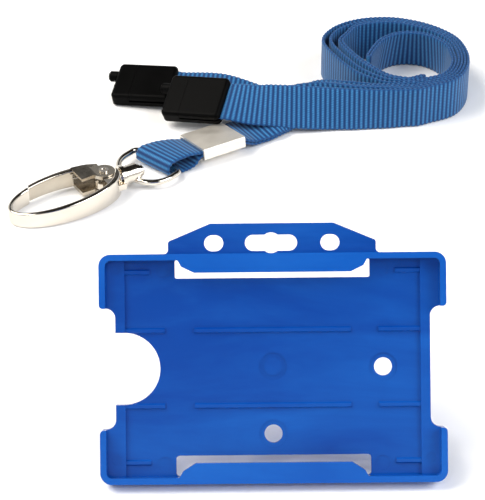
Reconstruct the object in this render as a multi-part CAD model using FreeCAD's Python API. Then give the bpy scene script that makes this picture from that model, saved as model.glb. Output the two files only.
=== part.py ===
import FreeCAD, Part
import math
import os

# Lanyard badge holder: a neck lanyard of flat ribbed ribbon, coiled on edge, with an open
# breakaway clasp, a crimped ferrule, a D ring and a swivelling oval snap hook, and the rigid
# open-faced card tray that the hook carries. Millimetres, +Z up, everything stands on z = 0.
# The origin is under the middle of the whole set.

V = FreeCAD.Vector

# ---- where the set's own origin lies in the layout below ----
ORIGIN_X = -4.5
ORIGIN_Y = 115.5

# ---- card tray, sized round an 85.6 x 54 mm card ----
TRAY_LEAN = 34.5            # degrees back from upright
TRAY_HALF_W = 44.85
TRAY_HALF_H = 29.7
NECK_HALF_W = 40.8          # half width between the four corner walls
EAR_LOW = 15.7              # a corner wall runs from here to the tray's end
TRAY_DEPTH = 4.8
PLATE = 1.4                 # back plate
RAIL = 1.6                  # top and bottom rails and corner walls
LIP = 1.3                   # front lips that hold the card
LEDGE = 0.8                 # raised strips that the card's ends rest on
LEDGE_INNER = 38.3
RIB = 0.55                  # height of the low ribs
RIB_W = 1.5
WINDOW_HALF_W = 25.3
NOTCH_R = 9.35              # thumb notch
NOTCH_X = -38.6
HOLE_R = 2.35               # two round holes through the plate
TAB_HALF_W = 27.0
TAB_TOP_HALF_W = 16.0
TAB_SHOULDER = 3.2
TAB_H = 7.8
TAB_SLOT_V = 32.4           # height of the three hanging slots
SIDE_SLOT_X = 15.1
SIDE_SLOT_L = 5.0
SLOT_W = 4.2
CENTRE_SLOT_L = 13.6
CENTRE_BUMP_R = 2.7

# ---- ribbon ----
RIBBON_W = 15.0
RIBBON_T = 1.2
COIL_X = 47.0
COIL_Y = 207.3
COIL_RX = 25.9
COIL_RY = 27.7
COIL_BAND = 8.2             # radial build of the wound plies

# ---- breakaway clasp halves ----
HALF_L = 21.4
HALF_W = 17.0
HALF_T = 5.0
NOSE_L = 6.6                # solid nose, ahead of the snap-on cover
COVER_T = 2.1
HALF_CORNER = 1.8
HALF_ROUND = 1.3            # rounding of the face's outer edges
SEAM_GAP = 0.1
CLAMP_GAP = 0.8             # slot along both sides, where the ribbon is clamped
PRONG_R = 1.9
PRONG_L = 3.4

# ---- ferrule ----
FERRULE_L = 16.0
FERRULE_W = 16.6
FERRULE_T = 4.2
FERRULE_WALL = 0.8
FERRULE_AT = V(-17.4, 166.2, 3.55)
FERRULE_YAW = 31.5
FERRULE_TILT = 8.0

# ---- D ring ----
WIRE_R = 1.0
RING_HALF_W = 9.9
RING_DEPTH = 13.85
RING_BAR_AT = V(-35.25, 155.6, 2.85)
RING_YAW = 230.0
RING_TILT = -3.0            # the near end of the bar lies lower

# ---- swivel and snap hook ----
HOOK_AT = V(-44.15, 144.75, 4.3)
HOOK_YAW = 211.0
POST_R = 1.2
POST_CLEARANCE = 0.06
BOSS_R = 3.1
BOSS_L = 4.6
COLLAR_R = 3.75
HOOK_MID_X = 23.6
HOOK_RX = 19.6
HOOK_RY = 9.8
HOOK_BAND = 1.9
HOOK_LOW = -4.3
HOOK_HIGH = 3.7
HOOK_TAPER = 3.0            # how much lower the band is at the nose
RIM_R = 0.6                 # rounding of the band's rims
PIVOT_X = 8.8
PIVOT_Y = 1.3
PIVOT_R = 3.7
PIN_R = 0.9
GATE_REACH = 25.0           # pivot to the end of the gate
GATE_GAP = 0.12


def box(low, high):
    size = high - low
    return Part.makeBox(size.x, size.y, size.z, low)


def rounded_wire(corners):
    """Closed outline through (x, y, corner radius), its corners rounded by tangent arcs."""
    edges = []
    joints = []
    count = len(corners)
    for i in range(count):
        before = V(*corners[i - 1][:2])
        here = V(*corners[i][:2])
        after = V(*corners[(i + 1) % count][:2])
        radius = corners[i][2]
        back = (before - here).normalize()
        ahead = (after - here).normalize()
        half = back.getAngle(ahead) / 2
        reach = radius / math.tan(half)
        start = here + back * reach
        end = here + ahead * reach
        if radius > 0:
            inward = (back + ahead).normalize()
            middle = here + inward * (radius / math.sin(half) - radius)
            joints.append((start, end, Part.Arc(start, middle, end).toShape()))
        else:
            joints.append((here, here, None))
    for i in range(count):
        if joints[i][2]:
            edges.append(joints[i][2])
        start = joints[i][1]
        end = joints[(i + 1) % count][0]
        if start.distanceToPoint(end) > 1e-6:
            edges.append(Part.LineSegment(start, end).toShape())
    return Part.Wire(edges)


def slab(corners, low, high):
    """Rounded outline made solid between two heights."""
    face = Part.Face(rounded_wire(corners))
    face.translate(V(0, 0, low))
    return face.extrude(V(0, 0, high - low))


def rectangle(x0, y0, x1, y1, radius=0.0):
    return [(x0, y0, radius), (x1, y0, radius), (x1, y1, radius), (x0, y1, radius)]


def mirrored(half):
    """A left-right symmetric outline from its right half, listed from bottom to top."""
    left = [(-x, y, r) for x, y, r in reversed(half)]
    return half + left


def ellipse_slab(x, rx, ry, low, high):
    edge = Part.Ellipse(V(x, 0, low), max(rx, ry), min(rx, ry)).toShape()
    if ry > rx:
        edge.rotate(V(x, 0, low), V(0, 0, 1), 90)
    return Part.Face(Part.Wire([edge])).extrude(V(0, 0, high - low))


def cylinder(radius, start, axis, length):
    return Part.makeCylinder(radius, length, start, axis)


def placed(shape, at, yaw, tilt=0.0):
    """Turn about the own X axis by tilt, then about Z by yaw, then move."""
    turned = FreeCAD.Rotation(V(0, 0, 1), yaw).multiply(FreeCAD.Rotation(V(1, 0, 0), tilt))
    moved = shape.copy()
    moved.Placement = FreeCAD.Placement(at, turned).multiply(moved.Placement)
    return moved


def write(name, shape):
    moved = shape.copy()
    moved.translate(V(-ORIGIN_X, -ORIGIN_Y, 0))
    moved.exportStep("parts/" + name + ".step")
    bounds = moved.BoundBox
    print("%-18s solids %d valid %s  z %.2f..%.2f  volume %.1f" % (
        name, len(moved.Solids), moved.isValid(), bounds.ZMin, bounds.ZMax, moved.Volume))


# ---------------------------------------------------------------- card tray

def slot_hole(x, y, length, width):
    end = width / 2
    bar = box(V(x - length / 2 + end, y - end, -1), V(x + length / 2 - end, y + end, PLATE + 1))
    left = cylinder(end, V(x - length / 2 + end, y, -1), V(0, 0, 1), PLATE + 2)
    right = cylinder(end, V(x + length / 2 - end, y, -1), V(0, 0, 1), PLATE + 2)
    return bar.fuse([left, right])


def tray_rib(x0, x1, y):
    """Low rib with a flat top and sloping sides."""
    half = RIB_W / 2
    top = half * 0.55
    outline = [V(x0, y - half, PLATE), V(x0, y + half, PLATE), V(x0, y + top, PLATE + RIB),
               V(x0, y - top, PLATE + RIB), V(x0, y - half, PLATE)]
    return Part.Face(Part.makePolygon(outline)).extrude(V(x1 - x0, 0, 0))


def card_tray():
    body_half = [(TRAY_HALF_W, -TRAY_HALF_H, 3.0), (TRAY_HALF_W, -EAR_LOW, 1.0),
                 (NECK_HALF_W, -EAR_LOW, 2.6), (NECK_HALF_W, EAR_LOW, 2.6),
                 (TRAY_HALF_W, EAR_LOW, 1.0), (TRAY_HALF_W, TRAY_HALF_H, 3.0)]
    tray = slab(mirrored(body_half), 0, TRAY_DEPTH)
    inner_w = TRAY_HALF_W - RAIL
    inner_h = TRAY_HALF_H - RAIL
    tray = tray.cut(slab(rectangle(-inner_w, -inner_h, inner_w, inner_h, 1.5), PLATE, TRAY_DEPTH + 1))

    tab_half = [(TAB_HALF_W + 1.2, TRAY_HALF_H - RAIL, 0), (TAB_HALF_W + 1.2, TRAY_HALF_H, 0),
                (TAB_HALF_W, TRAY_HALF_H, 1.1), (TAB_HALF_W, TRAY_HALF_H + TAB_SHOULDER, 0.8),
                (TAB_TOP_HALF_W, TRAY_HALF_H + TAB_H, 1.5)]
    tray = tray.fuse(slab(mirrored(tab_half), 0, PLATE))

    # raised ledges under the card's two ends, kept inside the body's outline
    neck = slab(mirrored(body_half), PLATE, PLATE + LEDGE)
    for side in (-1, 1):
        near = min(side * LEDGE_INNER, side * inner_w)
        far = max(side * LEDGE_INNER, side * inner_w)
        strip = slab(rectangle(near, -inner_h, far, inner_h, 0.3), PLATE, PLATE + LEDGE)
        tray = tray.fuse(strip.common(neck))

    # front lips over the windows, with stepped ends
    top_lip = [(WINDOW_HALF_W, TRAY_HALF_H, 0), (-WINDOW_HALF_W, TRAY_HALF_H, 0),
               (-WINDOW_HALF_W, inner_h, 0), (-24.4, inner_h - 0.1, 0.3), (-23.5, inner_h - 1.7, 0.8),
               (-20.2, 24.8, 0.6), (20.2, 24.8, 0.6), (23.5, inner_h - 1.7, 0.8),
               (24.4, inner_h - 0.1, 0.3), (WINDOW_HALF_W, inner_h, 0)]
    low_lip = [(x, -y + 0.5 * (y < 26), r) for x, y, r in top_lip]
    for outline in (top_lip, low_lip):
        tray = tray.fuse(slab(outline, TRAY_DEPTH - LIP, TRAY_DEPTH))

    for y in (-9.8, 9.8):
        tray = tray.fuse([tray_rib(-20.4, 20.3, y), tray_rib(27.4, LEDGE_INNER, y),
                          tray_rib(-LEDGE_INNER, -28.0, y)])
    for y in (-24.4, 25.0):
        tray = tray.fuse([tray_rib(31.8, LEDGE_INNER, y), tray_rib(-LEDGE_INNER, -31.8, y)])

    cuts = [slab(rectangle(-WINDOW_HALF_W, 23.3, WINDOW_HALF_W, inner_h, 0.5), -1, PLATE + 0.01),
            slab(rectangle(-WINDOW_HALF_W, -inner_h, WINDOW_HALF_W, -22.7, 0.9), -1, PLATE + 0.01),
            cylinder(NOTCH_R, V(NOTCH_X, 0, -1), V(0, 0, 1), TRAY_DEPTH + 2),
            box(V(-TRAY_HALF_W - 1, -NOTCH_R, -1), V(NOTCH_X, NOTCH_R, TRAY_DEPTH + 1)),
            slot_hole(-SIDE_SLOT_X, TAB_SLOT_V, SIDE_SLOT_L, SLOT_W),
            slot_hole(SIDE_SLOT_X, TAB_SLOT_V, SIDE_SLOT_L, SLOT_W),
            slot_hole(-0.2, TAB_SLOT_V, CENTRE_SLOT_L, SLOT_W),
            cylinder(CENTRE_BUMP_R, V(-0.2, TAB_SLOT_V, -1), V(0, 0, 1), PLATE + 2)]
    for x, y in ((28.6, 0.0), (0.0, -17.2)):
        cuts.append(cylinder(HOLE_R, V(x, y, -1), V(0, 0, 1), TRAY_DEPTH))
        cuts.append(cylinder(3.6, V(x, y, PLATE - 0.25), V(0, 0, 1), 1))
    cuts.append(cylinder(3.5, V(0, 0.3, PLATE - 0.2), V(0, 0, 1), 1))
    # round marks left by the mould's ejector pins
    for x in (-28.3, 28.3):
        for y in (-24.9, 25.4):
            cuts.append(cylinder(1.9, V(x, y, PLATE - 0.15), V(0, 0, 1), 1))
    for x in (-40.8, 40.8):
        for y in (-23.6, 25.6):
            cuts.append(cylinder(1.3, V(x, y, PLATE + LEDGE - 0.15), V(0, 0, 1), 1))
    tray = tray.cut(cuts)
    tray = tray.fuse(cylinder(2.4, V(0, 0.3, PLATE - 0.3), V(0, 0, 1), 0.3))
    return tray.removeSplitter()


def stand_tray(tray):
    """Stand the tray on its bottom edge, leaning back, facing the front."""
    raised = tray.copy()
    raised.translate(V(0, TRAY_HALF_H, 0))
    raised.rotate(V(0, 0, 0), V(1, 0, 0), 90 - TRAY_LEAN)
    return raised


# ---------------------------------------------------------------- ribbon

def station(edge, heading, lean, plies):
    """Cross-section of a strap: its lower edge at edge, run direction heading, leaning back."""
    angle = math.radians(heading)
    tip = math.radians(lean)
    along = V(math.cos(angle), math.sin(angle), 0)
    left = V(-along.y, along.x, 0)
    across = V(0, 0, 1) * math.cos(tip) + left * math.sin(tip)
    through = along.cross(across).normalize() * (-RIBBON_T * plies)
    corners = [edge, edge + across * RIBBON_W, edge + across * RIBBON_W + through, edge + through]
    return Part.makePolygon(corners + [corners[0]])


def strap(stations, plies=1):
    return Part.makeLoft([station(*values, plies) for values in stations], True, True)


def ribbon_coil():
    """Outer shape of the ribbon's coil, standing on edge, open in the middle."""
    coil = ellipse_slab(0, COIL_RX, COIL_RY, 0, RIBBON_W)
    coil = coil.cut(ellipse_slab(0, COIL_RX - COIL_BAND, COIL_RY - COIL_BAND, -1, RIBBON_W + 1))
    coil.translate(V(COIL_X, COIL_Y, 0))
    return coil


def hook_loop():
    """Ribbon folded round the ring's bar: two plies joined by a half-round fold."""
    inside = 3.3
    start = FERRULE_L / 2 + 0.3
    end = 26.0
    outer_r = inside / 2 + RIBBON_T
    ply = RIBBON_T
    low = box(V(start, -RIBBON_W / 2, 0), V(end - outer_r, RIBBON_W / 2, ply))
    high = box(V(start, -RIBBON_W / 2, 2 * outer_r - ply), V(end - outer_r, RIBBON_W / 2, 2 * outer_r))
    centre = V(end - outer_r, -RIBBON_W / 2, outer_r)
    fold = cylinder(outer_r, centre, V(0, 1, 0), RIBBON_W)
    fold = fold.cut(cylinder(outer_r - ply, centre, V(0, 1, 0), RIBBON_W))
    fold = fold.common(box(V(end - outer_r, -RIBBON_W, -1), V(end + 1, RIBBON_W, 2 * outer_r + 1)))
    return low.fuse([high, fold]).removeSplitter()


# ---------------------------------------------------------------- clasp halves

def clasp_frame(corner, along, across):
    """Placement whose X runs along the half from its nose, Y across it and Z out of its face."""
    x = V(*along).normalize()
    y = V(*across)
    z = x.cross(y).normalize()
    y = z.cross(x)
    matrix = FreeCAD.Matrix(x.x, y.x, z.x, corner[0], x.y, y.y, z.y, corner[1],
                            x.z, y.z, z.z, corner[2], 0, 0, 0, 1)
    return FreeCAD.Placement(matrix)


def clasp_slice(x0, x1, z0, z1):
    """Part of the half's rounded block between two lengths and two heights."""
    block = slab(rectangle(0, 0, HALF_L, HALF_W, HALF_CORNER), z0, z1)
    return block.common(box(V(x0, -1, -1), V(x1, HALF_W + 1, HALF_T + 1)))


def crown(block, seam_x):
    """Round the outer edges of the face, but not the edge along the seam."""
    edges = [e for e in block.Edges if e.BoundBox.ZMin > HALF_T - 0.01
             and e.BoundBox.XMax - e.BoundBox.XMin + abs(e.BoundBox.XMax - seam_x) > 0.01]
    return block.makeFillet(HALF_ROUND, edges)


def clasp_body():
    """Nose with its prong and its socket, and the lower jaw behind it."""
    nose = crown(clasp_slice(-1, NOSE_L, 0, HALF_T), NOSE_L)
    jaw = clasp_slice(-1, HALF_L + 1, 0, HALF_T - COVER_T - CLAMP_GAP)
    body = nose.fuse(jaw).removeSplitter()
    body = body.makeChamfer(0.5, [e for e in body.Edges if e.BoundBox.ZMax < 0.01])
    middle = HALF_T / 2
    prong = cylinder(PRONG_R, V(-PRONG_L, HALF_W * 0.72, middle), V(1, 0, 0), PRONG_L + 1)
    prong = prong.makeChamfer(0.6, [e for e in prong.Edges if e.BoundBox.XMax < -PRONG_L + 0.01])
    socket = cylinder(PRONG_R + 0.1, V(-1, HALF_W * 0.28, middle), V(1, 0, 0), PRONG_L + 1.6)
    return body.fuse(prong).cut(socket).removeSplitter()


def clasp_cover():
    """Snap-on upper jaw, with two pegs that pin the ribbon's end."""
    low = HALF_T - COVER_T
    seam_x = NOSE_L + SEAM_GAP
    plate = crown(clasp_slice(seam_x, HALF_L + 1, low, HALF_T), seam_x)
    pegs = [cylinder(0.7, V(HALF_L - 6, y, low - CLAMP_GAP), V(0, 0, 1), CLAMP_GAP + 0.5)
            for y in (HALF_W * 0.3, HALF_W * 0.7)]
    return plate.fuse(pegs).removeSplitter()


# ---------------------------------------------------------------- ferrule and ring

def in_ferrule(x):
    """Near upper edge of the two ribbon plies at a distance along the sleeve."""
    turned = FreeCAD.Rotation(V(0, 0, 1), FERRULE_YAW).multiply(FreeCAD.Rotation(V(1, 0, 0), -FERRULE_TILT))
    return FERRULE_AT + turned.multVec(V(x, -RIBBON_W / 2, RIBBON_T))


def crimp_ferrule():
    half_l = FERRULE_L / 2
    half_w = FERRULE_W / 2
    half_t = FERRULE_T / 2
    sleeve = box(V(-half_l, -half_w, -half_t), V(half_l, half_w, half_t))
    long_edges = [e for e in sleeve.Edges if e.BoundBox.XLength > 1]
    sleeve = sleeve.makeFillet(0.9, long_edges)
    wall = FERRULE_WALL
    bore = box(V(-half_l - 1, -half_w + wall, -half_t + wall), V(half_l + 1, half_w - wall, half_t - wall))
    return sleeve.cut(bore)


def ring_outline():
    half = RING_HALF_W
    return rounded_wire([(0, -half, 2.2), (RING_DEPTH, -half, 8.6), (RING_DEPTH, half, 8.6), (0, half, 2.2)])


def d_ring():
    """Round wire bent to a D, with a bored boss at the middle of its bow."""
    path = ring_outline()
    section = Part.Wire([Part.makeCircle(WIRE_R, V(0, 0, 0), V(0, 1, 0))])
    wire = path.makePipeShell([section], True, False)
    wire = placed(wire, RING_BAR_AT, RING_YAW, RING_TILT)
    axis = V(math.cos(math.radians(HOOK_YAW)), math.sin(math.radians(HOOK_YAW)), 0)
    boss = cylinder(BOSS_R, HOOK_AT - axis * (BOSS_L / 2), axis, BOSS_L)
    bore = cylinder(POST_R + POST_CLEARANCE, HOOK_AT - axis * BOSS_L, axis, BOSS_L * 2)
    return wire.fuse(boss).cut(bore)


# ---------------------------------------------------------------- swivel and hook

def swivel_post():
    """Headed post that turns in the ring's boss and is riveted into the hook."""
    head_x = -BOSS_L / 2 - 0.15
    shank = cylinder(POST_R, V(head_x, 0, 0), V(1, 0, 0), BOSS_L / 2 + 4.2 - head_x - BOSS_L / 2)
    step = cylinder(2.5, V(head_x - 0.8, 0, 0), V(1, 0, 0), 0.8)
    head = cylinder(1.9, V(head_x - 2.2, 0, 0), V(1, 0, 0), 1.4)
    head = head.makeFillet(0.5, [e for e in head.Edges if e.BoundBox.XMax < head_x - 2.1])
    return shank.fuse([step, head]).removeSplitter()


def above_taper(high):
    """Everything above the slope that runs from the given height at the heel down to the nose."""
    far = HOOK_MID_X + HOOK_RX + 1
    taper = Part.makePolygon([V(0, -20, high), V(far, -20, high - HOOK_TAPER), V(far, -20, high + 5),
                              V(0, -20, high + 5), V(0, -20, high)])
    return Part.Face(taper).extrude(V(0, 40, 0))


def hook_ring(low, high):
    """Oval band with rounded rims; it is deepest at the heel and slims down to the nose."""
    outer = ellipse_slab(HOOK_MID_X, HOOK_RX, HOOK_RY, low, high)
    inner = ellipse_slab(HOOK_MID_X + 0.5, HOOK_RX - HOOK_BAND, HOOK_RY - HOOK_BAND, low - 1, high + 1)
    ring = outer.cut(inner)
    ring = ring.cut(above_taper(high))
    return ring.makeFillet(RIM_R, [e for e in ring.Edges if e.BoundBox.YLength > 4])


def pivot_cylinder(radius, low, high):
    return cylinder(radius, V(PIVOT_X, PIVOT_Y, low), V(0, 0, 1), high - low)


def gate_zone(reach):
    """The stretch of the hook's oval that the gate takes up."""
    side = box(V(PIVOT_X - 6, PIVOT_Y - 0.6, HOOK_LOW - 1), V(60, 20, HOOK_HIGH + 1))
    return side.common(pivot_cylinder(reach, HOOK_LOW - 1, HOOK_HIGH + 1))


def hook_body():
    """Oval band with a fixed nose, a heel block, a tongue for the gate and a swivel collar."""
    band = hook_ring(HOOK_LOW, HOOK_HIGH).cut(gate_zone(GATE_REACH + GATE_GAP))
    band = band.cut(pivot_cylinder(PIVOT_R + 0.3, -20, 20))
    heel = ellipse_slab(HOOK_MID_X, HOOK_RX - 0.1, HOOK_RY - 0.1, HOOK_LOW + 0.7, HOOK_HIGH - 0.8)
    heel = heel.common(box(V(0, -20, -20), V(11.0, PIVOT_Y - 0.6, 20)))
    heel = heel.cut(pivot_cylinder(PIVOT_R + 0.3, -20, 20))
    tongue = pivot_cylinder(PIVOT_R - 0.3, -1.9, 0.2)
    web = box(V(3.9, -5.0, -1.9), V(PIVOT_X, PIVOT_Y, 0.2))
    collar = cylinder(COLLAR_R, V(BOSS_L / 2 + 0.15, 0, 0), V(1, 0, 0), 1.5)
    neck = cylinder(2.6, V(BOSS_L / 2 + 1.6, 0, 0), V(1, 0, 0), 0.9)
    body = band.fuse([heel, tongue, web, collar, neck])
    body = body.cut(cylinder(POST_R, V(0, 0, 0), V(1, 0, 0), BOSS_L / 2 + 4.2))
    return body.cut(pivot_cylinder(PIN_R, -20, 20))


def gate():
    """Curved lever with two ears that straddle the hook's tongue."""
    low = -3.3
    high = 3.4
    slope_high = 4.2
    lever = hook_ring(low, slope_high).common(gate_zone(GATE_REACH - GATE_GAP))
    lever = lever.common(box(V(PIVOT_X + 1.5, -20, -20), V(60, 20, 20)))
    ears = []
    for bottom, top in ((low, low + 1.2), (high - 1.2, high)):
        ear = pivot_cylinder(PIVOT_R, bottom, top)
        cheek = ellipse_slab(HOOK_MID_X, HOOK_RX, HOOK_RY, bottom, top)
        cheek = cheek.common(box(V(PIVOT_X, PIVOT_Y - 0.6, -20), V(PIVOT_X + 8.2, 20, 20)))
        ears.append(ear.fuse(cheek))
    shape = lever.fuse(ears).cut(above_taper(slope_high))
    return shape.cut(pivot_cylinder(PIN_R + 0.05, -20, 20))


def gate_pin():
    shank = pivot_cylinder(PIN_R, -3.35, 3.45)
    head = pivot_cylinder(1.6, 3.45, 3.95)
    foot = pivot_cylinder(1.5, -3.75, -3.35)
    dimple = pivot_cylinder(0.8, 3.7, 4.5)
    return shank.fuse([head, foot]).cut(dimple).removeSplitter()


def gate_spring():
    """Torsion spring: two closed turns round the pin and one leg along the gate."""
    wire_r = 0.3
    turn_r = 1.6
    turns = [Part.makeTorus(turn_r, wire_r, V(PIVOT_X, PIVOT_Y, z), V(0, 0, 1)) for z in (0.85, 1.4)]
    leg_start = V(PIVOT_X, PIVOT_Y + turn_r, 1.1)
    leg_way = V(9.0, 3.1, 0)
    leg = cylinder(wire_r, leg_start, leg_way, leg_way.Length)
    return turns[0].fuse([turns[1], leg])


# ---------------------------------------------------------------- build

os.makedirs("parts", exist_ok=True)

write("card_tray", stand_tray(card_tray()))

write("ribbon_coil", ribbon_coil())
write("near_strap", strap([(V(-14.9, 174.7, 7.6), -19, 65), (V(-4.6, 173.9, 5.4), -3, 52),
                           (V(1.8, 174.6, 4.2), 8, 44), (V(12.0, 176.2, 2.0), 6, 30),
                           (V(28.0, 177.7, 0.35), 4, 15), (V(44.0, 178.6, 0.0), 2, 0)]))
write("far_strap", strap([(V(-32.3, 192.5, 4.7), -12, 75), (V(-16.0, 189.6, 2.6), -13, 62),
                          (V(2.0, 187.0, 1.2), -9, 46), (V(12.0, 184.6, 0.9), -11, 36),
                          (V(26.5, 182.7, 0.4), -4, 12)]))
write("ferrule_strap", strap([(in_ferrule(-2.0), FERRULE_YAW, 90 + FERRULE_TILT),
                              (in_ferrule(FERRULE_L / 2), FERRULE_YAW, 90 + FERRULE_TILT),
                              (V(-1.5, 168.4, 2.6), 34, 86), (V(5.0, 172.4, 2.6), 38, 76),
                              (V(12.0, 178.0, 1.9), 28, 46), (V(20.0, 179.9, 1.3), 10, 26),
                              (V(32.0, 180.4, 0.5), 2, 8)], 2))

loop_yaw = FERRULE_YAW + 180
write("hook_loop", placed(hook_loop(), V(FERRULE_AT.x, FERRULE_AT.y, 0), loop_yaw))
write("crimp_ferrule", placed(crimp_ferrule(), FERRULE_AT, FERRULE_YAW, -FERRULE_TILT))

clasp_places = {
    "near": clasp_frame((-34.5, 182.1, 2.0), (20, -7.1, 2.4), (4.4, 14.8, 7.2)),
    "far": clasp_frame((-53.1, 197.0, 0.0), (20.9, -4.7, 1.35), (3.3, 16.1, 4.3)),
}
for side, where in clasp_places.items():
    for piece, shape in (("body", clasp_body()), ("cover", clasp_cover())):
        shape.Placement = where
        write(side + "_clasp_" + piece, shape)

write("d_ring", d_ring())
hook_pieces = {"swivel_post": swivel_post(), "hook_body": hook_body(), "gate": gate(),
               "gate_pin": gate_pin(), "gate_spring": gate_spring()}
for name, shape in hook_pieces.items():
    # the gate is on the far side, so the pieces are mirrored across the hook's own axis
    write(name, placed(shape.mirror(V(0, 0, 0), V(0, 1, 0)), HOOK_AT, HOOK_YAW))
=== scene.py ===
import math

import bpy
from mathutils import Matrix, Vector


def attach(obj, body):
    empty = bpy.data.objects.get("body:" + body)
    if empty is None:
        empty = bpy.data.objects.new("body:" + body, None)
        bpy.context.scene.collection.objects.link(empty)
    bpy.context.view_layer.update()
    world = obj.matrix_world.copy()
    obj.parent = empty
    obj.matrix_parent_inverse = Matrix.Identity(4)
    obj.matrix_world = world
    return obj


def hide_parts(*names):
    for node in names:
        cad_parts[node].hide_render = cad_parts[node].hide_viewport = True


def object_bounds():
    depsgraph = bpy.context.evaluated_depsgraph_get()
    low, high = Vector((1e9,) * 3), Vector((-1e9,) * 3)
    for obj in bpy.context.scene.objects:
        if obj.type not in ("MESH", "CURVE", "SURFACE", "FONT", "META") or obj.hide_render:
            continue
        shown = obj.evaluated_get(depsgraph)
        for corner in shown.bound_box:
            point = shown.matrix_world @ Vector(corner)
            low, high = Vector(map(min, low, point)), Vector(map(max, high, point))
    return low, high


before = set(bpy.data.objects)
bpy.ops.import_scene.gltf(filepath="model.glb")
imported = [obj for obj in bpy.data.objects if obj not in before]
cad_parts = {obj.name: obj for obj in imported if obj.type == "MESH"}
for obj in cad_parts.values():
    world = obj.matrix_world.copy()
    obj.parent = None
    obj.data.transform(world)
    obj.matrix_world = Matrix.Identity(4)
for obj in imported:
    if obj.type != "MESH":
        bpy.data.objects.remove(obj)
cadLow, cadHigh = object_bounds()
scene = bpy.context.scene
print("frame loaded:", len(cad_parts), "parts")

# lengths below are in millimetres, in the lanyard's own layout, until toFrame turns them to metres
mm = 0.001
layoutShift = Vector((4.5, -115.5, 0.0))


def toFrame(point):
    return (Vector(point) + layoutShift) * mm


# camera and studio
cameraSettings = {
    "at": (-7.625, -344.957, 310.222),
    "downTilt": 34.5,       # degrees below the horizon
    "roll": 0.55,
    "lens": 127.15,
}


def makeCamera(settings):
    tilt = math.radians(settings["downTilt"])
    roll = math.radians(settings["roll"])
    back = Vector((0, -math.cos(tilt), math.sin(tilt)))
    level = Vector((1, 0, 0))
    upright = Vector((0, math.sin(tilt), math.cos(tilt)))
    right = math.cos(roll) * level - math.sin(roll) * upright
    up = math.sin(roll) * level + math.cos(roll) * upright
    data = bpy.data.cameras.new("studioCamera")
    data.lens = settings["lens"]
    data.sensor_width = 36
    data.clip_start = 0.01
    camera = bpy.data.objects.new("studioCamera", data)
    turn = Matrix((right, up, back)).transposed().to_4x4()
    camera.matrix_world = Matrix.Translation(toFrame(settings["at"])) @ turn
    scene.collection.objects.link(camera)
    scene.camera = camera


makeCamera(cameraSettings)

# name: place, aim, width, height in metres, power in watts, colour
lightSettings = {
    "keySoftbox": ((-0.62, 0.05, 0.85), (0.02, 0.03, 0), 0.8, 0.7, 13.0, "#fffaf2"),
    "fillSoftbox": ((0.75, -0.25, 0.70), (0.02, 0.03, 0), 0.7, 0.6, 8.0, "#f6f9ff"),
    "frontSoftbox": ((-0.35, -0.85, 0.95), (0, -0.05, 0.02), 0.35, 0.2, 2.5, "#ffffff"),
}


def linear(hexColour):
    channels = [int(hexColour[i:i + 2], 16) / 255 for i in (1, 3, 5)]
    return tuple(c / 12.92 if c <= 0.04045 else ((c + 0.055) / 1.055) ** 2.4 for c in channels) + (1.0,)


def addNode(tree, kind, settings=None, links=None):
    node = tree.nodes.new(kind)
    for name, value in (settings or {}).items():
        if isinstance(name, str) and name in node.bl_rna.properties:
            setattr(node, name, value)
        else:
            node.inputs[name].default_value = value
    for name, socket in (links or {}).items():
        tree.links.new(socket, node.inputs[name])
    return node


def makeLight(name, place, aim, width, height, power, colour):
    data = bpy.data.lights.new(name, "AREA")
    data.shape = "RECTANGLE"
    data.size = width
    data.size_y = height
    data.energy = power
    data.color = linear(colour)[:3]
    light = bpy.data.objects.new(name, data)
    light.location = place
    light.rotation_euler = (Vector(aim) - Vector(place)).to_track_quat("-Z", "Y").to_euler()
    scene.collection.objects.link(light)


for lightName, values in lightSettings.items():
    makeLight(lightName, *values)

# white paper sweep low down all round, an unlit room overhead: plated metal shows pale sides and dark tops
worldSettings = {"paper": "#ffffff", "room": "#2a2826", "paperTop": 0.46, "roomFrom": 0.57, "strength": 0.72}


def makeWorld(settings):
    world = bpy.data.worlds.new("paperSweep")
    world.use_nodes = True
    tree = world.node_tree
    place = addNode(tree, "ShaderNodeTexCoord")
    height = addNode(tree, "ShaderNodeSeparateXYZ", links={"Vector": place.outputs["Generated"]})
    rise = addNode(tree, "ShaderNodeMapRange", {"From Min": settings["paperTop"],
                                                "From Max": settings["roomFrom"]},
                   {"Value": height.outputs["Z"]})
    mix = addNode(tree, "ShaderNodeMix", {"data_type": "RGBA", 6: linear(settings["paper"]),
                                          7: linear(settings["room"])}, {0: rise.outputs["Result"]})
    background = tree.nodes["Background"]
    background.inputs["Strength"].default_value = settings["strength"]
    tree.links.new(mix.outputs[2], background.inputs["Color"])
    scene.world = world


makeWorld(worldSettings)
scene.view_settings.view_transform = "Standard"
print("camera, lights and tent in place")


def startMaterial(name, roughness, metallic=0.0, ior=None):
    material = bpy.data.materials.new(name)
    material.use_nodes = True
    tree = material.node_tree
    shader = tree.nodes["Principled BSDF"]
    shader.inputs["Roughness"].default_value = roughness
    shader.inputs["Metallic"].default_value = metallic
    if ior:
        shader.inputs["IOR"].default_value = ior
    return material, tree, shader


def mixColours(tree, factor, first, second):
    node = addNode(tree, "ShaderNodeMix", {"data_type": "RGBA", 6: linear(first), 7: linear(second)},
                   {0: factor})
    return node.outputs[2]


def floorPaper():
    # matt paper sweep: no gloss, a very slight mottle
    material, tree, shader = startMaterial("paperFloorMatt", 0.95)
    place = addNode(tree, "ShaderNodeTexCoord")
    mottle = addNode(tree, "ShaderNodeTexNoise", {"Scale": 40.0, "Detail": 3.0},
                     {"Vector": place.outputs["Object"]})
    tree.links.new(mixColours(tree, mottle.outputs["Fac"], "#fafafa", "#ffffff"), shader.inputs["Base Color"])
    shader.inputs["Specular IOR Level"].default_value = 0.1
    return material


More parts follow.
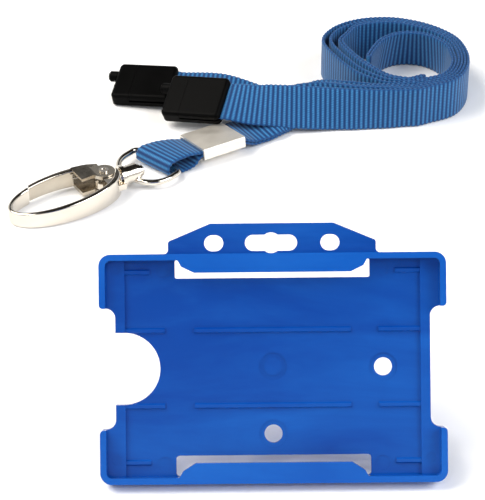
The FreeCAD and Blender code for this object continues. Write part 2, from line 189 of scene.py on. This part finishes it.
plasticSettings = {
    # the raised-wall colour is the panel's own blue made paler: painted light for light passing through the
    # walls
    "panel": "#023f96", "wall": "#0650ab", "edge": "#1465c0",
    "lean": 34.5,           # degrees, how far the tray leans back
    "plate": 1.4, "depth": 4.8,
    "streak": 14.0,         # flow streaks in each metre across
    "stretch": (14.0, 60.0, 60.0),
}


def mouldedPolystyrene(settings):
    # injection-moulded polystyrene, glossy straight from a polished mould: clear highlights, faint flow
    # streaks from the gate, and raised walls coloured paler, painted light for light passing through them
    material, tree, shader = startMaterial("polystyreneMouldedGloss", 0.2, ior=1.55)
    shader.inputs["Specular IOR Level"].default_value = 0.3
    lean = math.radians(settings["lean"])
    place = addNode(tree, "ShaderNodeTexCoord")
    outOfPlate = addNode(tree, "ShaderNodeVectorMath", {"operation": "DOT_PRODUCT",
                                                        1: (0, -math.cos(lean), math.sin(lean))},
                         {0: place.outputs["Object"]})
    backPlane = -math.cos(lean) * toFrame((0, 0, 0)).y
    height = addNode(tree, "ShaderNodeMapRange",
                     {"From Min": backPlane + (settings["plate"] + 0.3) * mm,
                      "From Max": backPlane + settings["depth"] * mm},
                     {"Value": outOfPlate.outputs["Value"]})
    # painted light: the colour turns paler towards the raised-wall colour as the surface stands higher off
    # the back plate
    wall = mixColours(tree, height.outputs["Result"], settings["panel"], settings["wall"])
    stretch = addNode(tree, "ShaderNodeMapping", {"Scale": settings["stretch"]},
                      {"Vector": place.outputs["Object"]})
    flow = addNode(tree, "ShaderNodeTexNoise", {"Scale": settings["streak"] / settings["stretch"][0],
                                                "Detail": 5.0, "Roughness": 0.62, "Distortion": 0.6},
                   {"Vector": stretch.outputs["Vector"]})
    streak = addNode(tree, "ShaderNodeMapRange", {"From Min": 0.35, "From Max": 0.75,
                                                  "To Min": 0.0, "To Max": 0.6},
                     {"Value": flow.outputs["Fac"]})
    colour = addNode(tree, "ShaderNodeMix", {"data_type": "RGBA", 7: linear(settings["edge"])},
                     {0: streak.outputs["Result"], 6: wall})
    tree.links.new(colour.outputs[2], shader.inputs["Base Color"])
    gloss = addNode(tree, "ShaderNodeMapRange", {"To Min": 0.16, "To Max": 0.3},
                    {"Value": flow.outputs["Fac"]})
    tree.links.new(gloss.outputs["Result"], shader.inputs["Roughness"])
    ripple = addNode(tree, "ShaderNodeTexNoise", {"Scale": 120.0, "Detail": 2.0},
                     {"Vector": place.outputs["Object"]})
    bump = addNode(tree, "ShaderNodeBump", {"Strength": 0.12, "Distance": 0.0004},
                   {"Height": ripple.outputs["Fac"]})
    tree.links.new(bump.outputs["Normal"], shader.inputs["Normal"])
    return material


acetalSettings = {"colour": "#030303", "worn": "#070707", "grit": 0.35}    # mould grit, mm


def mouldedAcetal(settings):
    # acetal from a spark-eroded mould: satin black, a fine even grain, soft broad highlights
    material, tree, shader = startMaterial("acetalMouldedSatin", 0.42, ior=1.48)
    place = addNode(tree, "ShaderNodeTexCoord")
    grain = addNode(tree, "ShaderNodeTexNoise", {"Scale": 1 / (settings["grit"] * mm), "Detail": 3.0},
                    {"Vector": place.outputs["Object"]})
    handling = addNode(tree, "ShaderNodeTexNoise", {"Scale": 130.0, "Detail": 4.0},
                       {"Vector": place.outputs["Object"]})
    shader.inputs["Specular IOR Level"].default_value = 0.04
    colour = mixColours(tree, handling.outputs["Fac"], settings["colour"], settings["worn"])
    tree.links.new(colour, shader.inputs["Base Color"])
    gloss = addNode(tree, "ShaderNodeMapRange", {"To Min": 0.34, "To Max": 0.5},
                    {"Value": handling.outputs["Fac"]})
    tree.links.new(gloss.outputs["Result"], shader.inputs["Roughness"])
    bump = addNode(tree, "ShaderNodeBump", {"Strength": 0.25, "Distance": 0.00004},
                   {"Height": grain.outputs["Fac"]})
    tree.links.new(bump.outputs["Normal"], shader.inputs["Normal"])
    return material


def platedMetal(name, bright, dull, smooth, rough, scratch):
    # zinc or steel under bright nickel: a warm cast, a mirror where it was polished and a soft satin where
    # it was pressed; handling leaves a faint haze
    material, tree, shader = startMaterial(name, smooth, metallic=1.0)
    place = addNode(tree, "ShaderNodeTexCoord")
    haze = addNode(tree, "ShaderNodeTexNoise", {"Scale": 160.0, "Detail": 6.0, "Roughness": 0.6},
                   {"Vector": place.outputs["Object"]})
    colour = mixColours(tree, haze.outputs["Fac"], dull, bright)
    tree.links.new(colour, shader.inputs["Base Color"])
    gloss = addNode(tree, "ShaderNodeMapRange", {"From Min": 0.3, "From Max": 0.7,
                                                 "To Min": smooth, "To Max": rough},
                    {"Value": haze.outputs["Fac"]})
    tree.links.new(gloss.outputs["Result"], shader.inputs["Roughness"])
    wave = addNode(tree, "ShaderNodeTexNoise", {"Scale": 420.0, "Detail": 2.0},
                   {"Vector": place.outputs["Object"]})
    bump = addNode(tree, "ShaderNodeBump", {"Strength": scratch, "Distance": 0.00005},
                   {"Height": wave.outputs["Fac"]})
    tree.links.new(bump.outputs["Normal"], shader.inputs["Normal"])
    return material


ribbonSettings = {
    "width": 14.9, "thickness": 0.86, "spacing": 1.1,
    "ribPitch": 1.65, "ribHeight": 0.1, "scallop": 0.28, "steps": 5,     # steps in each rib
    # the crest colour is a painted highlight and the groove colour painted shade on the one dyed body blue;
    # the edge colour is painted shade for the ribbon's edges
    "paintedCrestHighlight": "#4088bd", "body": "#16528a", "paintedGrooveShade": "#0b3264", "edge": "#10447c",
    "yarn": 0.62,           # width of one yarn across the rib, mm
    "innerLean": 11.0,      # degrees that the loose inner turn leans in at the back
}


def wovenPolyester(settings):
    # polyester ribbon woven with thick cross ribs: painted shade darkens the grooves and painted highlights
    # pale the rib crests, broken into small yarn beads; soft sheen at the turns
    material, tree, shader = startMaterial("polyesterWovenRibs", 0.62, ior=1.5)
    place = addNode(tree, "ShaderNodeUVMap", {"uv_map": "woven"})
    split = addNode(tree, "ShaderNodeSeparateXYZ", links={"Vector": place.outputs["UV"]})
    ribAngle = addNode(tree, "ShaderNodeMath",
                       {"operation": "MULTIPLY", 1: 2 * math.pi / settings["ribPitch"]},
                       {0: split.outputs["X"]})
    ribWave = addNode(tree, "ShaderNodeMath", {"operation": "COSINE"}, {0: ribAngle.outputs[0]})
    rib = addNode(tree, "ShaderNodeMapRange", {"From Min": -1.0, "From Max": 0.9},
                  {"Value": ribWave.outputs[0]})
    # the yarn beads of one rib sit between those of the next
    half = addNode(tree, "ShaderNodeMath", {"operation": "MULTIPLY", 1: math.pi / settings["ribPitch"]},
                   {0: split.outputs["X"]})
    yarnAngle = addNode(tree, "ShaderNodeMath",
                        {"operation": "MULTIPLY_ADD", 1: 2 * math.pi / settings["yarn"]},
                        {0: split.outputs["Y"], 2: half.outputs[0]})
    yarnWave = addNode(tree, "ShaderNodeMath", {"operation": "COSINE"}, {0: yarnAngle.outputs[0]})
    yarn = addNode(tree, "ShaderNodeMapRange", {"From Min": -1.0, "From Max": 1.0, "To Min": 0.55},
                   {"Value": yarnWave.outputs[0]})
    weave = addNode(tree, "ShaderNodeMath", {"operation": "MULTIPLY"},
                    {0: rib.outputs["Result"], 1: yarn.outputs["Result"]})
    # painted shade: the grooves darken towards the groove colour
    low = mixColours(tree, rib.outputs["Result"], settings["paintedGrooveShade"], settings["body"])
    # painted highlight: the rib crests and their yarn beads pale towards the crest colour
    paintedCrestHighlight = addNode(tree, "ShaderNodeMath", {"operation": "POWER", 1: 2.2}, {0: weave.outputs[0]})
    high = addNode(tree, "ShaderNodeMix", {"data_type": "RGBA", 7: linear(settings["paintedCrestHighlight"])},
                   {0: paintedCrestHighlight.outputs[0], 6: low})
    # painted shade: the woven edges turn away from the light, so their colour is darkened a step towards the
    # edge colour
    aside = addNode(tree, "ShaderNodeMath", {"operation": "ABSOLUTE"}, {0: split.outputs["Y"]})
    paintedEdgeShade = addNode(tree, "ShaderNodeMapRange",
                       {"From Min": settings["width"] / 2 - 0.75, "From Max": settings["width"] / 2 - 0.15,
                        "To Max": 0.7}, {"Value": aside.outputs[0]})
    withPaintedEdgeShade = addNode(tree, "ShaderNodeMix", {"data_type": "RGBA", 7: linear(settings["edge"])},
                    {0: paintedEdgeShade.outputs["Result"], 6: high.outputs[2]})
    fibre = addNode(tree, "ShaderNodeTexNoise", {"Scale": 1.4, "Detail": 5.0, "Roughness": 0.7},
                    {"Vector": place.outputs["UV"]})
    dim = addNode(tree, "ShaderNodeMapRange",
                  {"From Min": 0.3, "From Max": 0.7, "To Min": 0.8, "To Max": 1.12},
                  {"Value": fibre.outputs["Fac"]})
    colour = addNode(tree, "ShaderNodeVectorMath", {"operation": "SCALE"},
                     {0: withPaintedEdgeShade.outputs[2], "Scale": dim.outputs["Result"]})
    tree.links.new(colour.outputs["Vector"], shader.inputs["Base Color"])
    relief = addNode(tree, "ShaderNodeMath", {"operation": "MULTIPLY_ADD", 1: 0.3},
                     {0: fibre.outputs["Fac"], 2: weave.outputs[0]})
    bump = addNode(tree, "ShaderNodeBump", {"Strength": 0.55, "Distance": 0.00018},
                   {"Height": relief.outputs[0]})
    tree.links.new(bump.outputs["Normal"], shader.inputs["Normal"])
    shader.inputs["Specular IOR Level"].default_value = 0.2
    shader.inputs["Sheen Weight"].default_value = 0.15
    shader.inputs["Sheen Roughness"].default_value = 0.5
    return material


finishes = {
    "polystyrene": mouldedPolystyrene(plasticSettings),
    "acetal": mouldedAcetal(acetalSettings),
    "nickel": platedMetal("nickelPlatedPolished", "#e9e3d9", "#d8d0c4", 0.07, 0.16, 0.10),
    "gateNickel": platedMetal("nickelPlatedTumbled", "#cfc7ba", "#b3aa9c", 0.12, 0.24, 0.16),
    "sleeveNickel": platedMetal("nickelPlatedPressed", "#fdf8ef", "#f2ebdf", 0.5, 0.58, 0.06),
    "spring": platedMetal("springSteelDrawn", "#b9b4ab", "#8f8a82", 0.2, 0.32, 0.2),
    "ribbon": wovenPolyester(ribbonSettings),
}
nodeFinishes = {
    "card_tray": "polystyrene",
    "near_clasp_body": "acetal", "near_clasp_cover": "acetal",
    "far_clasp_body": "acetal", "far_clasp_cover": "acetal",
    "crimp_ferrule": "sleeveNickel", "d_ring": "nickel", "swivel_post": "nickel", "hook_body": "nickel",
    "gate": "gateNickel", "gate_pin": "nickel", "gate_spring": "spring",
}
for nodeName, finish in nodeFinishes.items():
    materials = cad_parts[nodeName].data.materials
    materials.clear()
    materials.append(finishes[finish])
print("materials on", len(nodeFinishes), "parts")


# outside of the wound coil seen from above, anticlockwise from the front
coilOutline = [(50.0, 180.1), (58.5, 182.8), (66.5, 187.3), (71.3, 195.5), (72.8, 206.0), (70.6, 217.3),
               (64.8, 225.5), (57.0, 231.2), (47.5, 234.5), (36.3, 233.7), (27.4, 228.8), (22.0, 221.0),
               (21.8, 214.0), (25.7, 204.3), (31.0, 194.8), (38.5, 185.2)]
# inner face of the loose inner turn, from the right round the back to its fold
innerLine = [(66.4, 207.3), (64.4, 213.4), (60.2, 218.9), (55.2, 221.6), (49.5, 221.3), (44.3, 217.4),
             (41.0, 211.4), (38.4, 204.8)]


def spline(points, place, closed=False):
    count = len(points)
    first = math.floor(place)
    if not closed:
        first = min(max(first, 0), count - 2)
    part = place - first
    picks = []
    for step in (-1, 0, 1, 2):
        index = first + step
        index = index % count if closed else min(max(index, 0), count - 1)
        picks.append(Vector(points[index]))
    a, b, c, d = picks
    return 0.5 * (2 * b + (c - a) * part + (2 * a - 5 * b + 4 * c - d) * part ** 2
                  + (3 * b - a - 3 * c + d) * part ** 3)


def insetPoint(points, place, inset, closed=False):
    before = spline(points, place - 0.02, closed)
    after = spline(points, place + 0.02, closed)
    run = (after - before).normalized()
    point = spline(points, place, closed) + Vector((-run.y, run.x)) * inset
    return Vector((point.x, point.y, ribbonSettings["width"] / 2))


upright = Vector((0, 0, 1))


def followCoil(keys, stride=0.25):
    # keys are (place on the outline, distance inside it); the distance changes smoothly between them
    made = []
    for (start, insetA), (end, insetB) in zip(keys, keys[1:]):
        count = max(1, round(abs(end - start) / stride))
        for i in range(count):
            share = i / count
            ease = 0.5 - 0.5 * math.cos(math.pi * share)
            made.append((insetPoint(coilOutline, start + (end - start) * share,
                                    insetA + (insetB - insetA) * ease, True), upright))
    made.append((insetPoint(coilOutline, *keys[-1], True), upright))
    return made


innerStart, innerRun, innerSteps = 0.6, 6.4, 26      # where the loose inner turn starts, and how far it runs


def leanInward(made, points, places, most):
    # the loose turn's top edge stays where it is and its foot slips outward, most at the back
    leant = []
    for (point, _), place in zip(made, places):
        run = (spline(points, place + 0.02) - spline(points, place - 0.02)).normalized()
        inward = Vector((-run.y, run.x, 0))
        share = math.sin(math.pi * min(max((place - innerStart) / innerRun, 0), 1)) ** 0.7
        angle = math.radians(most) * share
        across = upright * math.cos(angle) + inward * math.sin(angle)
        top = Vector((point.x, point.y, 0)) + upright * ribbonSettings["width"] * math.cos(angle)
        leant.append((top - across * ribbonSettings["width"] / 2, across))
    return leant


def leaning(edge, heading, lean, depth):
    # middle of a strap whose lower near edge is given; it leans back and lies depth behind that edge
    angle = math.radians(heading)
    tip = math.radians(lean)
    along = Vector((math.cos(angle), math.sin(angle), 0))
    across = upright * math.cos(tip) + Vector((-along.y, along.x, 0)) * math.sin(tip)
    behind = across.cross(along)
    return Vector(edge) + across * ribbonSettings["width"] / 2 + behind * depth, across


def hairpin(start, end, forward):
    # the tight fold between two touching plies
    middle = (start + end) / 2
    side = (start - end) / 2
    reach = forward.normalized() * side.length
    return [(middle + side * math.cos(a) + reach * math.sin(a), upright)
            for a in (math.pi * k / 6 for k in range(1, 6))]


ply = ribbonSettings["spacing"]
nearIn, upperIn, lowerIn, farIn = (ply * (k + 0.5) for k in range(4))
innerA, innerB = ply * 4.5, ply * 5.5

nearStrap = [leaning(*values, ply / 2) for values in (
    ((-16.0, 175.1, 7.3), -17, 66), ((-14.0, 174.5, 7.5), -15, 64), ((-4.6, 173.9, 5.4), -9, 53),
    ((1.8, 174.6, 4.2), -5, 44), ((12.0, 176.2, 2.0), -2, 30), ((28.0, 177.8, 0.4), 0, 14),
    ((40.0, 178.8, 0.1), 0, 5))]
farStrap = [leaning(*values, ply / 2) for values in (
    ((-33.4, 192.7, 4.8), -12, 75), ((-31.5, 192.3, 4.6), -12, 75), ((-16.0, 189.6, 2.6), -13, 62),
    ((2.0, 185.2, 1.0), -9, 72), ((12.0, 183.9, 0.9), -6, 60), ((20.0, 183.2, 0.7), -4, 38),
    ((28.0, 182.9, 0.4), -4, 16), ((39.0, 183.2, 0.1), 0, 3))]

ferruleSettings = {"middle": (-17.4, 166.2, 3.55), "yaw": 31.5, "tilt": 8.0}


def inFerrule(settings, distance, depth):
    turn = Matrix.Rotation(math.radians(settings["yaw"]), 3, "Z") @ Matrix.Rotation(
        math.radians(-settings["tilt"]), 3, "X")
    edge = Vector(settings["middle"]) + turn @ Vector((distance, -ribbonSettings["width"] / 2, ply))
    return leaning(edge, settings["yaw"], 90 + settings["tilt"], depth)


def ferruleStrap(depth):
    # from the coil's front to the ring end of the sleeve
    run = [leaning(edge, heading, lean, depth) for edge, heading, lean in (
        ((34.0, 180.3, 0.4), 2, 7), ((20.0, 179.9, 1.3), 10, 26), ((12.0, 178.0, 1.9), 28, 46),
        ((5.0, 172.4, 2.6), 38, 76), ((-1.5, 168.4, 2.6), 34, 86))]
    return run + [inFerrule(ferruleSettings, distance, depth) for distance in (7.0, 0.0, -8.0)]


ringBar = {"middle": (-35.25, 155.6, 2.85), "direction": (-0.765, 0.642, 0.052), "loopRadius": 2.25}


def ringLoop(settings):
    # over the ring's bar and back under it
    bar = Vector(settings["direction"]).normalized()
    sleeve = inFerrule(ferruleSettings, -8.0, ply / 2)[1]
    outward = bar.cross(upright).normalized()
    outward = -outward if outward.x > 0 else outward
    centre = Vector(settings["middle"]) + outward * 0.6
    radius = settings["loopRadius"]
    over = [(Vector((-28.0, 159.9, 5.0)), 0.3), (Vector((-32.3, 157.6, 5.25)), 0.7)]
    fold = [(centre + upright * radius * math.cos(a) + outward * radius * math.sin(a), 1.0)
            for a in (math.pi * k / 6 for k in range(7))]
    under = [(Vector((-32.0, 157.0, 0.62)), 0.7), (Vector((-27.8, 159.2, 0.9)), 0.3)]
    return [(point, sleeve.lerp(bar, share).normalized()) for point, share in over + fold + under]


# the ribbon is one length: near clasp, once round, inner turn, fold, back again, round, through the
# ferrule, over the ring, and the same way back to the far clasp
onceRound = [(0.0, nearIn), (12.0, nearIn), (14.0, nearIn), (15.0, 2.7), (16.0, 5.4), (18.0, innerA),
             (19.6, innerA)]
outPlaces = [innerStart + innerRun * k / innerSteps for k in range(innerSteps + 1)]
backPlaces = outPlaces[::-1]
goingOut = leanInward([(insetPoint(innerLine, place, -1.5 * ply), upright) for place in outPlaces],
                      innerLine, outPlaces, ribbonSettings["innerLean"])
comingBack = leanInward([(insetPoint(innerLine, place, -0.5 * ply), upright) for place in backPlaces],
                        innerLine, backPlaces, ribbonSettings["innerLean"])
secondRound = [(19.6, innerB), (18.0, innerB), (16.0, 6.5), (15.0, 5.0), (14.0, 3.4), (12.0, 3.4),
               (10.0, 2.6), (8.0, upperIn), (4.0, upperIn), (0.0, upperIn)]
thirdRound = [(0.0, lowerIn), (8.0, lowerIn), (9.0, 3.4), (10.5, 6.6), (13.0, 6.1), (15.0, 6.8), (16.0, 7.6),
              (17.0, 7.8)]
fourthRound = [(17.0, 7.8 + ply), (16.0, 7.6 + ply), (15.0, 6.8 + ply), (13.0, 6.1 + ply),
               (10.5, 6.6 + ply), (9.0, 3.4 + ply), (8.0, farIn), (4.0, farIn), (0.0, farIn)]


def ribbonRoute():
    route = list(nearStrap)
    route += followCoil(onceRound)
    route += goingOut
    route += hairpin(goingOut[-1][0], comingBack[0][0], goingOut[-1][0] - goingOut[-2][0])
    route += comingBack
    route += followCoil(secondRound)
    route += ferruleStrap(ply / 2)
    route += ringLoop(ringBar)
    route += list(reversed(ferruleStrap(1.5 * ply)))
    third = followCoil(thirdRound)
    fourth = followCoil(fourthRound)
    route += third
    route += hairpin(third[-1][0], fourth[0][0], third[-1][0] - third[-2][0])
    route += fourth
    route += list(reversed(farStrap))
    return route


def curveThrough(route):
    # centripetal spline through the route, sampled finely, then evened out along its length
    points = [p for p, _ in route]
    sides = [s for _, s in route]
    fine = []
    for i in range(len(route) - 1):
        a = points[max(i - 1, 0)]
        b, c = points[i], points[i + 1]
        d = points[min(i + 2, len(points) - 1)]
        gap = (c - b).length
        if gap < 1e-6:
            continue
        before = max((b - a).length, 1e-6) ** 0.5
        here = gap ** 0.5
        after = max((d - c).length, 1e-6) ** 0.5
        slopeB = (c - b) if (b - a).length < 1e-6 else here * (
            (b - a) / before - (c - a) / (before + here) + (c - b) / here)
        slopeC = (c - b) if (d - c).length < 1e-6 else here * (
            (c - b) / here - (d - b) / (here + after) + (d - c) / after)
        count = max(2, math.ceil(gap / 0.12))
        for k in range(count):
            t = k / count
            point = (b * (2 * t ** 3 - 3 * t ** 2 + 1) + slopeB * (t ** 3 - 2 * t ** 2 + t)
                     + c * (3 * t ** 2 - 2 * t ** 3) + slopeC * (t ** 3 - t ** 2))
            ease = 3 * t ** 2 - 2 * t ** 3
            fine.append((point, sides[i].lerp(sides[i + 1], ease).normalized()))
    fine.append((points[-1], sides[-1]))
    return fine


def evenSteps(fine, step):
    made = [fine[0]]
    carried = 0.0
    for (p, s), (q, r) in zip(fine, fine[1:]):
        gap = (q - p).length
        while carried + gap >= step and gap > 1e-9:
            share = (step - carried) / gap
            p = p.lerp(q, share)
            s = s.lerp(r, share).normalized()
            made.append((p, s))
            gap = (q - p).length
            carried = 0.0
        carried += gap
    return made


def ribShape(distance, settings):
    return (0.5 + 0.5 * math.cos(2 * math.pi * distance / settings["ribPitch"])) ** 0.7


def weaveRibbon(name, route, settings):
    step = settings["ribPitch"] / settings["steps"]
    line = evenSteps(curveThrough(route), step)
    places = (-1.0, -0.975, -0.9, -0.6, -0.2, 0.2, 0.6, 0.9, 0.975, 1.0)
    heights = (0.35, 0.75, 1.0, 1.0, 1.0, 1.0, 1.0, 1.0, 0.75, 0.35)
    ring = [(w, h) for w, h in zip(places, heights)] + [(w, -h) for w, h in zip(places[::-1], heights[::-1])]
    vertices, across = [], []
    for i, (point, side) in enumerate(line):
        run = (line[min(i + 1, len(line) - 1)][0] - line[max(i - 1, 0)][0]).normalized()
        face = run.cross(side).normalized()
        rib = ribShape(i * step, settings)
        halfWidth = settings["width"] / 2 - settings["scallop"] * (1 - rib)
        halfThick = settings["thickness"] / 2 + settings["ribHeight"] * rib
        for w, h in ring:
            vertices.append((point + side * w * halfWidth + face * h * halfThick + layoutShift) * mm)
            across.append(w * settings["width"] / 2)
    size = len(ring)
    faces, uvs = [], []
    for i in range(len(line) - 1):
        for k in range(size):
            n = (k + 1) % size
            faces.append((i * size + k, i * size + n, (i + 1) * size + n, (i + 1) * size + k))
            uvs += [(i * step, across[k]), (i * step, across[n]), ((i + 1) * step, across[n]),
                    ((i + 1) * step, across[k])]
    last = (len(line) - 1) * size
    firstCap, lastCap = tuple(range(size))[::-1], tuple(last + k for k in range(size))
    for cap, at in ((firstCap, 0.0), (lastCap, last / size * step)):
        faces.append(cap)
        uvs += [(at, across[k % size]) for k in cap]
    mesh = bpy.data.meshes.new(name)
    mesh.from_pydata(vertices, [], faces)
    layer = mesh.uv_layers.new(name="woven")
    for loop, uv in zip(layer.data, uvs):
        loop.uv = uv
    mesh.polygons.foreach_set("use_smooth", [True] * len(mesh.polygons))
    mesh.update()
    piece = bpy.data.objects.new(name, mesh)
    scene.collection.objects.link(piece)
    piece.data.materials.append(finishes["ribbon"])
    return piece, (len(line) - 1) * step


ribbon, ribbonLength = weaveRibbon("lanyard_ribbon", ribbonRoute(), ribbonSettings)
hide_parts("ribbon_coil", "near_strap", "far_strap", "ferrule_strap", "hook_loop")
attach(ribbon, "lanyard")
print("ribbon woven,", round(ribbonLength), "mm of it,", len(ribbon.data.vertices), "vertices")


def makeFloor():
    mesh = bpy.data.meshes.new("studioFloor")
    size = 4.0      # metres each way from the middle
    corners = [(-size, -size, 0), (size, -size, 0), (size, size, 0), (-size, size, 0)]
    mesh.from_pydata(corners, [], [(0, 1, 2, 3)])
    floor = bpy.data.objects.new("studioFloor", mesh)
    floor.location.z = cadLow[2] - 0.1 * mm
    scene.collection.objects.link(floor)
    floor.data.materials.append(floorPaper())


makeFloor()
print("done")
